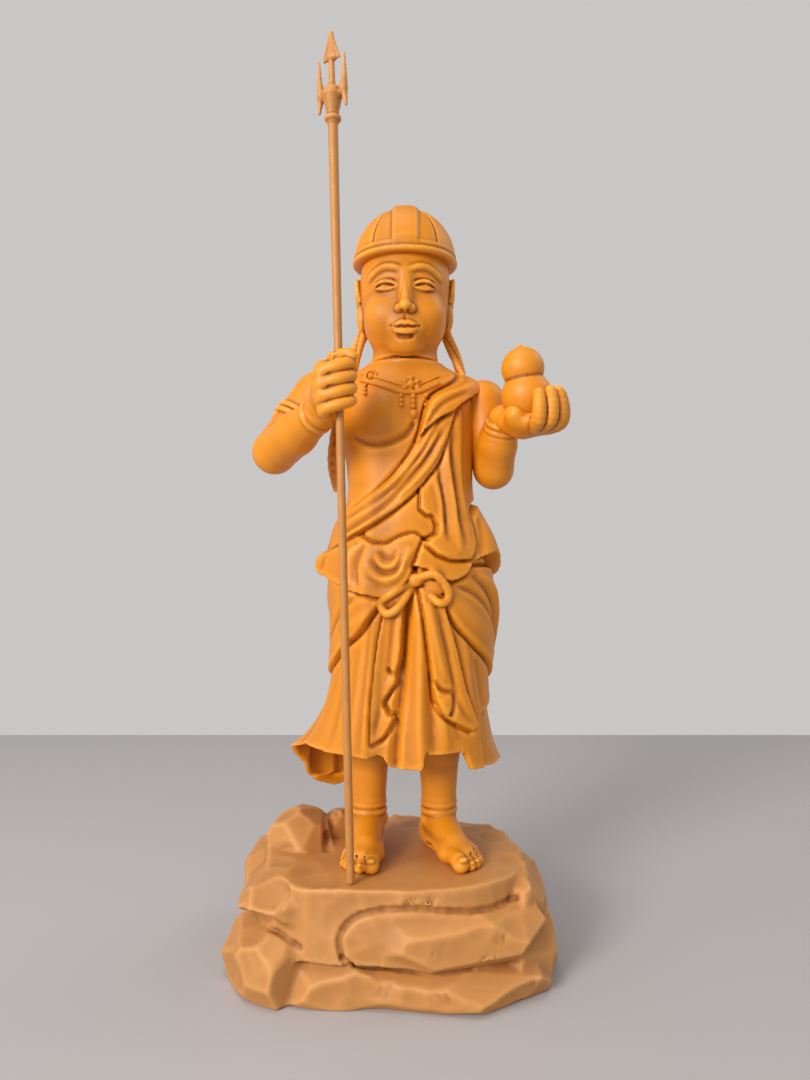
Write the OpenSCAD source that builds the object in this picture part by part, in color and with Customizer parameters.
// Carved boxwood attendant figure on a rock base, built as a joined-block carving.
// Millimetres. +Z is up, the figure faces -Y, and the origin is the centre of the base's underside.
// Right and left are the figure's own.

/* [Base] */
// Width of the rock base
base_w = 100; // [84:1:120]
// Depth of the rock base, front to back
base_d = 76; // [66:1:92]
// Height of the level ground that the figure stands on
base_h = 32; // [26:1:40]
// Height of the boulder behind the right foot, above the ground
boulder_h = 9; // [5:1:14]

/* [Figure] */
// Ground to the front of the skirt's hem
hem_h = 31; // [26:1:37]
// Hem to the hips
skirt_h = 64; // [54:1:76]
// Hips to the shoulder line
torso_h = 53; // [45:1:63]
// Shoulder line to the seam under the neck
collar_h = 4; // [3:0.5:6]
// Seam under the neck to the seat of the cap
face_h = 33; // [29:1:39]
// Width of the torso between the two shoulder seams
seam_w = 45; // [38:1:54]
// Width of the hips
hip_w = 53; // [48:1:62]
// Width of the waist
waist_w = 40; // [34:1:46]
// Width of the skirt at the knees
skirt_w = 51; // [47:1:60]
// How far the wind carries the hem out at the right rear
flare_out = 13; // [8:1:18]
// How far that corner of the hem hangs below the front hem
flare_drop = 14; // [8:1:18]
// Thickness of the skirt's wall around the legs
skirt_wall = 2.6; // [2:0.2:3.4]

/* [Head] */
// Width of the head, without the ears
head_w = 29; // [25:1:34]
// Depth of the head, front to back
head_d = 32; // [28:1:37]
// Outside radius of the cap's rim
cap_r = 16.8; // [15:0.2:20]
// Height of the cap
cap_h = 18.5; // [15:0.5:23]

/* [Legs] */
// Distance between the two ankles
stance_w = 22.5; // [19:0.5:27]
// Length of a foot
foot_len = 33; // [28:1:38]
// Radius of a calf under the hem
calf_r = 6.2; // [5.2:0.2:7]
// Radius of the ankle
ankle_r = 5.2; // [4.4:0.2:6]
// Ground to the ceiling of the hollow in the skirt
leg_len = 50; // [45:1:58]

/* [Staff] */
// Diameter of the shaft below the fist
shaft_d = 2.4; // [2:0.1:3]
// Diameter of the shaft under the trident
shaft_top_d = 2.9; // [2.7:0.1:3.6]
// Length of the shaft from the ground to the trident's socket
shaft_len = 214; // [180:1:240]
// Length of the trident, socket to point
trident_len = 25; // [20:1:30]
// Width across the trident's outer tines
trident_w = 10.4; // [9:0.2:13]
// Height of the middle of the fist above the ground
fist_h = 141; // [125:1:155]

/* [Gourd] */
// Diameter of the gourd's lower bulb
gourd_d = 15; // [12.5:0.5:16]
// Diameter of the gourd's upper bulb
gourd_top_d = 12.6; // [10:0.2:13]

/* [Joinery] */
// Diameter of the pegs under the feet
foot_peg_d = 5; // [4:0.2:6]
// Length of a foot peg inside the base
foot_peg_in_base = 10; // [7:1:14]
// Diameter of the pegs in the shoulders
shoulder_peg_d = 4.4; // [3.6:0.2:5]
// Diameter of the pegs in the wrists
wrist_peg_d = 2.4; // [2:0.2:2.8]
// Diameter of the tenon under the neck
neck_tenon_d = 10; // [8:0.5:12]
// Diameter of the round tenon on the head that carries the cap
cap_tenon_d = 17; // [14:0.5:20]
// Radial gap around a glued peg
glue_gap = 0.05; // [0.03:0.01:0.1]
// Radial gap around a peg or shaft that slides
slide_gap = 0.08; // [0.05:0.01:0.1]

/* [Hidden] */

boxwood = "#d79a52";
fig_x = base_w * 0.035;          // the figure stands a little to its left of the base's middle
ground_z = base_h;
hem_z = ground_z + hem_h;
ceiling_z = ground_z + leg_len;
hip_z = hem_z + skirt_h;
shoulder_z = hip_z + torso_h;
neck_z = shoulder_z + collar_h;
cap_z = neck_z + face_h;
waist_z = hip_z + torso_h * 0.22;
chest_z = hip_z + torso_h * 0.72;
body_d = waist_w * 0.76;         // depth of the waist, which the rest of the trunk follows
seam_right = fig_x - seam_w / 2;
seam_left = fig_x + seam_w / 2;
gap = 0.3;                       // clearance between carved faces of different bodies
eps = 0.01;

// The staff stands on the ground before the right foot and leans a little outwards and forwards.
staff_foot = [fig_x - stance_w * 0.5 - 4.2, -28, ground_z + 0.1];
staff_lean = [-0.021, -0.026, 1];
staff_dir = staff_lean / norm(staff_lean);
function on_staff(s) = staff_foot + staff_dir * s;
fist_at = on_staff((fist_h - 0.1) / staff_dir[2]);

// Arms: joint centres. The elbows hang from the shoulders and the wrists lead to the hands.
right_shoulder = [seam_right - 5.2, 0, shoulder_z - 4];
right_elbow = [seam_right - 18.4, -5.5, shoulder_z - 22.5];
right_wrist = fist_at + [-6.6, 8.2, -6.4];
left_shoulder = [seam_left + 2.4, 0, shoulder_z - 6];
left_elbow = [seam_left + 5.6, -2, shoulder_z - 27.5];
left_wrist = [seam_left + 7.5, -11, shoulder_z - 13];
palm_at = left_wrist + [7, -9.5, -3.4];
shoulder_r = 8;
elbow_r = 6.8;
right_wrist_r = 5;
left_elbow_r = 6.2;
left_wrist_r = 4.4;

// Pegs
foot_peg_up = 14;                // length of a foot peg inside the leg
knee_peg_len = 12;
shoulder_peg_len = 12;
wrist_peg_len = 6;
neck_tenon_len = 8;
cap_tenon_len = 4;
gourd_peg_d = 2;
gourd_peg_len = 5;

// ---- shared shapes ----

// Turns +Z to the direction v.
module aim(v) {
    n = norm(v);
    rotate([0, acos(v[2] / n), atan2(v[1], v[0])]) children();
}

module capsule(a, b, ra, rb) {
    hull() {
        translate(a) sphere(r = ra, $fn = 28);
        translate(b) sphere(r = rb, $fn = 28);
    }
}

// A straight peg or hole from a to b.
module rod(a, b, r) {
    translate(a) aim(b - a) cylinder(r = r, h = norm(b - a), $fn = 48);
}

// Everything on the far side of the plane through p with normal v, as a large block.
module beyond(p, v, size = 200) {
    translate(p) aim(v) translate([-size / 2, -size / 2, 0]) cube(size);
}

// ---- rock base ----

// A rough boulder between two outlines, given as fractions of half the base's width and depth.
function outline(fractions) = [for (f = fractions) [f[0] * base_w / 2, f[1] * base_d / 2]];
module boulder(foot, z0, crown, z1) {
    slab = 0.4;
    hull() {
        translate([0, 0, z0]) linear_extrude(height = slab) polygon(outline(foot));
        translate([0, 0, z1 - slab]) linear_extrude(height = slab) polygon(outline(crown));
    }
}

module rock_base() color(boxwood) difference() {
    union() {
        boulder([[-0.86, -0.7], [-0.45, -0.88], [0.1, -1], [0.62, -0.86], [0.9, -0.62], [1, 0.05],
                 [0.86, 0.62], [0.4, 0.95], [-0.2, 1], [-0.72, 0.84], [-0.96, 0.3]], 0,
                [[-0.78, -0.5], [-0.36, -0.72], [0.2, -0.78], [0.66, -0.66], [0.82, -0.3], [0.78, 0.24],
                 [0.46, 0.58], [-0.1, 0.66], [-0.56, 0.56], [-0.8, 0.1]], ground_z * 0.78);
        boulder([[-0.84, -0.5], [-0.36, -0.84], [0.32, -0.88], [0.76, -0.62], [0.86, -0.1], [0.74, 0.36],
                 [0.4, 0.66], [-0.2, 0.7], [-0.7, 0.5], [-0.84, 0.05]], ground_z * 0.5,
                [[-0.7, -0.56], [-0.34, -0.8], [0.3, -0.82], [0.64, -0.56], [0.68, 0], [0.5, 0.42],
                 [0.1, 0.6], [-0.4, 0.56], [-0.66, 0.2]], ground_z);
        boulder([[-1, -0.5], [-0.94, -0.78], [-0.66, -0.92], [-0.4, -0.8], [-0.44, -0.4], [-0.9, -0.2]], 0,
                [[-0.92, -0.46], [-0.84, -0.64], [-0.66, -0.74], [-0.56, -0.5], [-0.86, -0.3]],
                ground_z * 0.56);
        boulder([[-0.3, -0.86], [0, -0.98], [0.5, -0.92], [0.72, -0.7], [0.3, -0.5], [-0.2, -0.5]],
                ground_z * 0.22,
                [[-0.18, -0.72], [0.1, -0.86], [0.46, -0.78], [0.5, -0.6], [0.1, -0.5]], ground_z * 0.74);
        boulder([[0.6, -0.8], [0.9, -0.74], [1, -0.4], [0.94, 0.1], [0.6, 0]], 0,
                [[0.66, -0.66], [0.88, -0.56], [0.92, -0.3], [0.84, 0], [0.62, -0.1]], ground_z * 0.66);
        boulder([[-0.84, -0.18], [-0.5, -0.3], [-0.36, 0.1], [-0.4, 0.56], [-0.72, 0.5], [-0.86, 0.2]],
                ground_z * 0.6,
                [[-0.72, -0.04], [-0.56, -0.1], [-0.44, 0.16], [-0.46, 0.46], [-0.62, 0.4], [-0.74, 0.18]],
                ground_z + boulder_h);
    }
    for (side = [-1, 1])
        translate([ankle_x(side), 0, ground_z - foot_peg_in_base - gap])
            cylinder(d = foot_peg_d + 2 * slide_gap, h = foot_peg_in_base + gap + eps, $fn = 48);
}

// ---- trunk: torso and skirt in one block, hollow under the skirt ----

around = 40;                     // points in one ring of the trunk
// [height, centre x, centre y, half width, half depth]
outer_rings = [
    [neck_z, 0, 0, 11.5, 10.5],
    [neck_z - 1.6, 0, 0, 15, 11.2],
    [shoulder_z, 0, 0, seam_w * 0.53, body_d * 0.41],
    [shoulder_z - 6, 0, 0, seam_w * 0.54, body_d * 0.46],
    [chest_z, 0, -0.4, seam_w * 0.485, body_d * 0.51],
    [waist_z + torso_h * 0.2, 0.8, 0, waist_w * 0.5, body_d * 0.5],
    [waist_z, 1.4, 0, waist_w * 0.515, body_d * 0.52],
    [hip_z + 4, 0.8, 0, hip_w * 0.485, body_d * 0.6],
    [hip_z - 4, 0.6, 0, hip_w * 0.5, body_d * 0.63],
    [hip_z - skirt_h * 0.25, 1.2, 0, skirt_w * 0.5, body_d * 0.63],
    [hem_z + skirt_h * 0.5, 1.4, 0, skirt_w * 0.495, body_d * 0.64],
    [hem_z + skirt_h * 0.25, 1.4, 0, skirt_w * 0.5, body_d * 0.67],
    [hem_z + skirt_h * 0.1, 1.2, 0, skirt_w * 0.52, body_d * 0.7],
    [hem_z, 1, 0, skirt_w * 0.53, body_d * 0.73]];
n_outer = len(outer_rings);
inner_steps = 5;                 // rings on the inside of the skirt, from the hem to the ceiling

flare_at = 196;                  // direction of the wind-blown corner, in degrees from the figure's left
function near(angle, centre, spread) =
    let (turn = abs((angle - centre + 540) % 360 - 180)) turn < spread ? (1 + cos(180 * turn / spread)) / 2 : 0;
function flare(angle) = near(angle, flare_at, 62);
// How much of the flare has opened at height z: all of it at the hem and none from mid-skirt up.
function opened(z) = pow(max(0, 1 - (z - hem_z) / (skirt_h * 0.5)), 2);
function fold(angle, z) = z < hip_z - 8 ? 0.5 * sin(angle * 9) * (hip_z - z) / skirt_h : 0;

function ring_point(ring, angle, inset, share = 1) =
    let (z = ring[0], f = flare(angle) * opened(z) * share, r = -inset + fold(angle, z))
    [fig_x + ring[1] + (ring[3] + r + flare_out * f) * cos(angle),
     ring[2] + (ring[4] + r + flare_out * 0.7 * f) * sin(angle),
     z - flare_drop * f];
function inner_ring(k) =         // k = 0 at the hem, inner_steps - 1 at the ceiling
    let (t = k / (inner_steps - 1), z = hem_z + (ceiling_z - hem_z) * t)
    [z, 1.2, 0, skirt_w * (0.53 - 0.03 * t), body_d * (0.73 - 0.06 * t)];

module trunk_block() {
    angles = [for (i = [0:around - 1]) 360 * i / around];
    points = concat(
        [[fig_x, 0, neck_z]],
        [for (ring = outer_rings, a = angles) ring_point(ring, a, 0)],
        [for (k = [0:inner_steps - 1], a = angles) ring_point(inner_ring(k), a, skirt_wall, 1 - k / (inner_steps - 1))],
        [[fig_x + 1.2, 0, ceiling_z]]);
    rings = n_outer + inner_steps;
    last = len(points) - 1;
    function at(r, i) = 1 + r * around + i % around;
    faces = concat(
        [for (i = [0:around - 1]) [0, at(0, i + 1), at(0, i)]],
        [for (r = [0:rings - 2], i = [0:around - 1]) [at(r, i), at(r, i + 1), at(r + 1, i)]],
        [for (r = [0:rings - 2], i = [0:around - 1]) [at(r, i + 1), at(r + 1, i + 1), at(r + 1, i)]],
        [for (i = [0:around - 1]) [last, at(rings - 1, i), at(rings - 1, i + 1)]]);
    polyhedron(points, faces, convexity = 8);
}

module trunk() color(boxwood) difference() {
    trunk_block();
    // flat seats for the two arms
    for (side = [-1, 1])
        translate([side < 0 ? seam_right - 40 : seam_left, -30, waist_z + 8]) cube([40, 60, 60]);
    for (side = [-1, 1]) shoulder_peg_shape(side, glue_gap);
    for (side = [-1, 1]) knee_peg_shape(side, glue_gap);
    translate([fig_x, 0, neck_z - neck_tenon_len - gap])
        cylinder(d = neck_tenon_d + 2 * glue_gap, h = neck_tenon_len + gap + 1, $fn = 64);
}

// ---- legs ----

function ankle_x(side) = fig_x + (side < 0 ? -stance_w / 2 - 0.4 : stance_w / 2 - 0.4);
function toe_out(side) = side < 0 ? -4 : 24;   // how far the foot turns out, in degrees
heel_r = 4.4;
toe_r = 3.2;
foot_w = 11;

module leg(side) {
    heel_back = foot_len * 0.28;
    toe_front = foot_len * 0.72;
    difference() {
        union() {
            translate([ankle_x(side), 0, 0]) {
                hull() {
                    translate([0, 0, ground_z + 12]) sphere(r = ankle_r, $fn = 28);
                    translate([0, 0, ceiling_z - 8]) cylinder(r = calf_r + 0.4, h = 8, $fn = 28);
                }
                rotate([0, 0, toe_out(side)]) hull() {
                    translate([0, 0, ground_z + 10]) sphere(r = ankle_r, $fn = 28);
                    translate([0, heel_back - heel_r, ground_z + heel_r - 1]) sphere(r = heel_r, $fn = 24);
                    translate([0, -toe_front * 0.45, ground_z + 4]) sphere(r = 4.4, $fn = 24);
                }
                rotate([0, 0, toe_out(side)]) hull() {
                    translate([0, -toe_front * 0.3, ground_z + 3.6]) sphere(r = 4.6, $fn = 24);
                    for (x = [-1, 1])
                        translate([x * (foot_w / 2 - toe_r), -toe_front + toe_r + (x == side ? 3 : 0), ground_z + toe_r - 0.8])
                            sphere(r = toe_r, $fn = 24);
                }
            }
        }
        translate([-base_w, -base_d, ground_z - 20]) cube([2 * base_w, 2 * base_d, 20]);
        foot_peg_shape(side, glue_gap);
        knee_peg_shape(side, glue_gap);
    }
}
module right_leg() color(boxwood) leg(-1);
module left_leg() color(boxwood) leg(1);

// ---- pegs: each shape is used for the peg and, widened, for its hole ----

module foot_peg_shape(side, extra = 0)
    translate([ankle_x(side), 0, ground_z - foot_peg_in_base - extra])
        cylinder(d = foot_peg_d + 2 * extra, h = foot_peg_in_base + foot_peg_up + 2 * extra, $fn = 48);
module knee_peg_shape(side, extra = 0)
    translate([ankle_x(side), 0, ceiling_z - knee_peg_len / 2 - extra])
        cylinder(d = foot_peg_d + 2 * extra, h = knee_peg_len + 2 * extra, $fn = 48);
module shoulder_peg_shape(side, extra = 0) {
    at = side < 0 ? [seam_right, 0, right_shoulder[2]] : [seam_left, 0, left_shoulder[2]];
    half = shoulder_peg_len / 2 + extra;
    rod(at - [half, 0, 0], at + [half, 0, 0], shoulder_peg_d / 2 + extra);
}
// The wrist pegs cross the seams between arm and hand. The left wrist bends, so its peg lies halfway
// between the forearm and the palm.
function unit(v) = v / norm(v);
function wrist_seam(side) = side < 0 ? right_wrist : left_wrist;
function wrist_dir(side) =
    side < 0 ? unit(fist_at - right_wrist) : unit(unit(left_wrist - left_elbow) + unit(palm_at - left_wrist));
module wrist_peg_shape(side, extra = 0) {
    half = wrist_dir(side) * (wrist_peg_len / 2 + extra);
    rod(wrist_seam(side) - half, wrist_seam(side) + half, wrist_peg_d / 2 + extra);
}
module right_foot_peg() color(boxwood) foot_peg_shape(-1);
module left_foot_peg() color(boxwood) foot_peg_shape(1);
module right_knee_peg() color(boxwood) knee_peg_shape(-1);
module left_knee_peg() color(boxwood) knee_peg_shape(1);
module right_shoulder_peg() color(boxwood) shoulder_peg_shape(-1);
module left_shoulder_peg() color(boxwood) shoulder_peg_shape(1);
module right_wrist_peg() color(boxwood) wrist_peg_shape(-1);
module left_wrist_peg() color(boxwood) wrist_peg_shape(1);

// ---- head and cap ----

neck_r = 9.8;
module head() color(boxwood) {
    translate([fig_x, 0, neck_z - neck_tenon_len]) cylinder(d = neck_tenon_d, h = neck_tenon_len + eps, $fn = 64);
    translate([fig_x, 0, cap_z - eps]) cylinder(d = cap_tenon_d, h = cap_tenon_len + eps, $fn = 64);
    difference() {
        union() {
            translate([fig_x, 0, neck_z]) cylinder(r1 = neck_r + 0.8, r2 = neck_r - 0.4, h = face_h * 0.4, $fn = 48);
            hull() {
                translate([fig_x, 0, neck_z + face_h * 0.66]) scale([head_w / 2, head_d / 2, face_h * 0.5]) sphere(r = 1, $fn = 40);
                translate([fig_x, -head_d * 0.14, neck_z + face_h * 0.34]) scale([head_w * 0.4, head_d * 0.32, face_h * 0.3])
                    sphere(r = 1, $fn = 32);
            }
            // ears with long lobes
            for (side = [-1, 1]) hull() {
                translate([fig_x + side * head_w * 0.49, 1.2, neck_z + face_h * 0.74]) scale([1.5, 2.6, 3.2]) sphere(r = 1, $fn = 24);
                translate([fig_x + side * head_w * 0.47, 0.4, neck_z + face_h * 0.36]) scale([1.3, 1.6, 2]) sphere(r = 1, $fn = 24);
            }
        }
        translate([fig_x - 40, -40, cap_z]) cube([80, 80, 60]);
    }
}

module cap() color(boxwood) {
    rim_h = 2.2;
    rim_out = 0.5;
    steps = 14;
    translate([fig_x, 0, cap_z]) rotate_extrude($fn = 96) polygon(concat(
        [[cap_tenon_d / 2 + glue_gap, 0], [cap_r, 0], [cap_r, rim_h], [cap_r - rim_out, rim_h]],
        [for (i = [1:steps]) let (a = 90 * i / steps)
            [(cap_r - rim_out) * cos(a), rim_h + (cap_h - rim_h) * sin(a)]],
        [[0, cap_tenon_len + gap], [cap_tenon_d / 2 + glue_gap, cap_tenon_len + gap]]));
}

// ---- locks of hair that hang free from behind the ears to the shoulders ----

module hair_lock(side) {
    top = [fig_x + side * head_w * 0.46, 4.4, neck_z + face_h * 0.42];
    middle = [fig_x + side * head_w * (side < 0 ? 0.57 : 0.58), 3.4, neck_z + 5];
    end = [fig_x + side * head_w * (side < 0 ? 0.6 : 0.66), 1, shoulder_z + 1.4];
    capsule(top, middle, 2, 1.9);
    capsule(middle, end, 1.9, 1.5);
}
module right_hair_lock() color(boxwood) hair_lock(-1);
module left_hair_lock() color(boxwood) hair_lock(1);

// ---- arms ----

module right_arm() color(boxwood) difference() {
    union() {
        difference() {
            capsule(right_shoulder, right_elbow, shoulder_r, elbow_r);
            translate([seam_right, -60, 0]) cube([60, 120, 400]);
        }
        capsule(right_elbow, right_wrist, elbow_r, right_wrist_r);
    }
    beyond(right_wrist, wrist_dir(-1), 40);
    shoulder_peg_shape(-1, glue_gap);
    wrist_peg_shape(-1, glue_gap);
}

module left_arm() color(boxwood) difference() {
    union() {
        capsule(left_shoulder, left_elbow, shoulder_r - 0.8, left_elbow_r);
        capsule(left_elbow, left_wrist, left_elbow_r, left_wrist_r);
    }
    translate([seam_left - 60, -60, 0]) cube([60, 120, 400]);
    beyond(left_wrist, wrist_dir(1), 40);
    shoulder_peg_shape(1, glue_gap);
    wrist_peg_shape(1, glue_gap);
}

// ---- right fist: four fingers wrap the staff ----

finger_r = 1.85;
finger_wrap_r = shaft_d / 2 + 2.5;     // staff's axis to the middle of a finger
finger_pitch = 3.5;
module right_hand() color(boxwood) difference() {
    union() {
        // four fingers start behind the staff at the figure's right and wrap round its front
        translate(fist_at) aim(staff_dir)
            for (k = [0:3])
                translate([0, 0, (k - 1.5) * finger_pitch])
                    rotate([0, 0, 140 - atan2(staff_dir[1], staff_dir[0])])
                        rotate_extrude(angle = 265, $fn = 40)
                            translate([finger_wrap_r, 0]) circle(r = finger_r, $fn = 20);
        // the heel of the hand and the thumb close the ring behind the staff
        translate(fist_at + [-1.6, 3.4, 0]) aim(staff_dir)
            cylinder(r = 3.4, h = 4 * finger_pitch - 1, center = true, $fn = 32);
        translate(fist_at + [1.6, 3.4, 4.4]) sphere(r = 2.2, $fn = 24);
        difference() {
            hull() {
                translate(right_wrist) sphere(r = right_wrist_r - 0.2, $fn = 24);
                translate(fist_at + [-3.4, 3.2, 2]) sphere(r = 4.2, $fn = 24);
                translate(fist_at + [-3, 3.4, -3]) sphere(r = 4, $fn = 24);
            }
            beyond(right_wrist, -wrist_dir(-1), 40);
        }
    }
    rod(on_staff(fist_h - 30), on_staff(fist_h + 30), shaft_d / 2 + slide_gap);
    wrist_peg_shape(-1, glue_gap);
}

// ---- left hand: palm up under the gourd, four fingers curl up before it ----

gourd_lean = [-0.14, 0, 1];
gourd_dir = gourd_lean / norm(gourd_lean);
gourd_foot = palm_at + gourd_dir * (2.6 + gap);      // where the gourd rests in the palm
grip_r = gourd_d / 2 + 0.5 + 1.5;                    // gourd's axis to the middle of a finger

module left_hand() color(boxwood) difference() {
    union() {
        difference() {
            hull() {
                translate(left_wrist) sphere(r = left_wrist_r - 0.2, $fn = 24);
                translate(palm_at + [0, 0, -1]) aim(gourd_dir) cylinder(r = 6.4, h = 3.4, $fn = 32);
            }
            beyond(left_wrist, -wrist_dir(1), 40);
        }
        for (k = [0:3]) {
            turn = -95 + k * 28;
            knuckle = palm_at + [cos(turn) * (grip_r - 2.6), sin(turn) * (grip_r - 2.6), 0.2];
            tip = palm_at + [cos(turn) * grip_r, sin(turn) * grip_r, 9.4];
            capsule(knuckle, tip, 1.9, 1.5);
        }
        capsule(palm_at + [5.6, 4, 0], palm_at + [6.8, 5.2, 6.6], 2, 1.6);
    }
    // the seat that the gourd lifts out of: round below its middle and straight above it
    translate(gourd_foot) aim(gourd_dir) {
        translate([0, 0, bulb_z]) cylinder(r = bulb_r + gap, h = 30, $fn = 64);
        intersection() {
            translate([0, 0, bulb_z]) sphere(r = bulb_r + gap, $fn = 64);
            cylinder(r = bulb_r + 2, h = bulb_z + 1, $fn = 64);
        }
    }
    gourd_peg_shape(glue_gap);
    wrist_peg_shape(1, glue_gap);
}

// ---- gourd and its peg ----

module gourd_peg_shape(extra = 0)
    translate(gourd_foot) aim(gourd_dir) translate([0, 0, -gourd_peg_len / 2])
        cylinder(d = gourd_peg_d + 2 * extra, h = gourd_peg_len + extra, $fn = 32);
module gourd_peg() color(boxwood) gourd_peg_shape();

// The two bulbs are round, and meet at a waist where their circles cross.
bulb_r = gourd_d / 2;
top_bulb_r = gourd_top_d / 2;
bulb_z = bulb_r * 0.78;                              // foot to the middle of the lower bulb
bulb_gap = (bulb_r + top_bulb_r) * 0.6;              // between the middles of the bulbs
waist_up = (pow(bulb_gap, 2) + pow(bulb_r, 2) - pow(top_bulb_r, 2)) / (2 * bulb_gap);
module held_gourd() color(boxwood) difference() {
    foot_angle = -asin(bulb_z / bulb_r);
    low_end = asin(waist_up / bulb_r);
    high_start = asin((waist_up - bulb_gap) / top_bulb_r);
    steps = 12;
    top_z = bulb_z + bulb_gap;
    translate(gourd_foot + gourd_dir * 0.05) aim(gourd_dir) rotate_extrude($fn = 64) polygon(concat(
        [[0, 0]],
        [for (i = [0:steps]) let (a = foot_angle + (low_end - foot_angle) * i / steps)
            [bulb_r * cos(a), bulb_z + bulb_r * sin(a)]],
        [for (i = [1:steps]) let (a = high_start + (76 - high_start) * i / steps)
            [top_bulb_r * cos(a), top_z + top_bulb_r * sin(a)]],
        [[0.7, top_z + top_bulb_r * 1.08], [0, top_z + top_bulb_r * 1.16]]));
    gourd_peg_shape(slide_gap);
}

// ---- scarf end, let into the back of the right shoulder and hanging behind the arm ----

module scarf_tail() color(boxwood) {
    thick = 2.2;
    back_y = body_d * 0.24;
    drop = torso_h * 0.66;
    hull() {
        translate([seam_right - 0.5, back_y, shoulder_z - 8]) cube([7, thick, 1]);
        translate([seam_right - 5, back_y + 1.6, shoulder_z - drop * 0.5]) cube([7, thick, 1]);
        translate([seam_right - 2.4, back_y + 1.6, shoulder_z - drop]) cube([3.6, thick, 1]);
    }
}

// ---- staff ----

tip_tenon_d = 1.8;
tip_tenon_len = 4;
straight_len = fist_h + 14;              // the shaft is an even cylinder to just above the fist
module staff_shaft() color(boxwood) translate(staff_foot) aim(staff_dir) {
    cylinder(d = shaft_d, h = straight_len, $fn = 48);
    translate([0, 0, straight_len]) cylinder(d1 = shaft_d, d2 = shaft_top_d, h = shaft_len - straight_len, $fn = 48);
    translate([0, 0, shaft_len - eps]) cylinder(d = tip_tenon_d, h = tip_tenon_len + eps, $fn = 32);
}

module trident_head() color(boxwood) {
    tine_reach = trident_w / 2;
    yoke_z = trident_len * 0.28;
    difference() {
        translate(on_staff(shaft_len)) aim(staff_dir) rotate([0, 0, -33 - atan2(staff_dir[1], staff_dir[0])]) {
            // collar and socket
            rotate_extrude($fn = 48) polygon([[0, 0], [2, 0], [2.3, 0.6], [2.3, 1.6], [1.9, 2], [2, 2.4],
                [3, yoke_z - 0.8], [2.8, yoke_z], [1.4, yoke_z + 1], [1.7, yoke_z + 1.6], [1.7, yoke_z + 2.2],
                [1, yoke_z + 2.6], [0.85, trident_len - 7.6], [0, trident_len - 7.6]]);
            // barbed point, flat in the plane of the tines
            hull() {
                translate([-2.9, -0.5, trident_len - 8.4]) cube([5.8, 1, 0.3]);
                translate([-0.7, -0.9, trident_len - 6.6]) cube([1.4, 1.8, 0.3]);
                translate([-0.3, -0.3, trident_len - 0.3]) cube([0.6, 0.6, 0.3]);
            }
            // two outer tines, joined to the socket by the yoke
            for (side = [-1, 1]) {
                translate([side * tine_reach / 2, 0, yoke_z - 2]) cube([tine_reach - 0.6, 1.6, 2.2], center = true);
                hull() {
                    translate([side * (tine_reach - 0.7), 0, yoke_z - 4.2]) sphere(r = 0.7, $fn = 16);
                    translate([side * (tine_reach - 1), 0, yoke_z - 1]) sphere(r = 1.15, $fn = 16);
                    translate([side * (tine_reach - 0.6), 0, trident_len - 7.2]) sphere(r = 0.5, $fn = 16);
                }
            }
        }
        translate(on_staff(shaft_len)) aim(staff_dir) translate([0, 0, -eps])
            cylinder(d = tip_tenon_d + 2 * glue_gap, h = tip_tenon_len + gap, $fn = 32);
    }
}

rock_base();
trunk();
right_leg();
left_leg();
right_foot_peg();
left_foot_peg();
right_knee_peg();
left_knee_peg();
head();
cap();
right_hair_lock();
left_hair_lock();
right_arm();
right_hand();
left_arm();
left_hand();
right_shoulder_peg();
left_shoulder_peg();
right_wrist_peg();
left_wrist_peg();
scarf_tail();
held_gourd();
gourd_peg();
staff_shaft();
trident_head();
